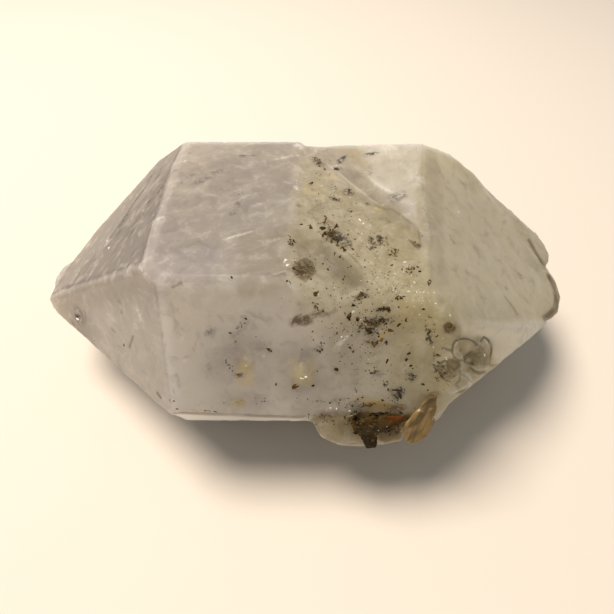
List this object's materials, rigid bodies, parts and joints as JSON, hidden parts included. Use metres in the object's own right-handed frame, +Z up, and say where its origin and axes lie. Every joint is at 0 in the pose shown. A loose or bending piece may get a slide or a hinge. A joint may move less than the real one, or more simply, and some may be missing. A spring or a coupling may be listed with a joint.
{
  "type": "herkimer diamond quartz crystal",
  "caption": "Loose milky quartz crystal with pointed ends, grown together with others, with a rough contact and a plug of clay; rests on a flat prism face.",
  "frame": {"origin": "centre of the bounding box at the surface the crystal lies on", "axes": "+X along the long axis of the larger crystal towards the second crystal's tip, -Y towards the side with the small crystals, +Z up from the prism face it lies on"},
  "size_m": [0.0978, 0.0578, 0.0392],
  "materials": {
    "milky_quartz": "cloudy translucent quartz with glossy flat faces",
    "stained_quartz": "iron-stained quartz, satin",
    "dried_clay": "dry dark clay, matt"
  },
  "bodies": {
    "root": {"crystal_pair": "milky_quartz", "stained_crystal": "stained_quartz", "clay_fill": "dried_clay"}
  },
  "joints": []
}
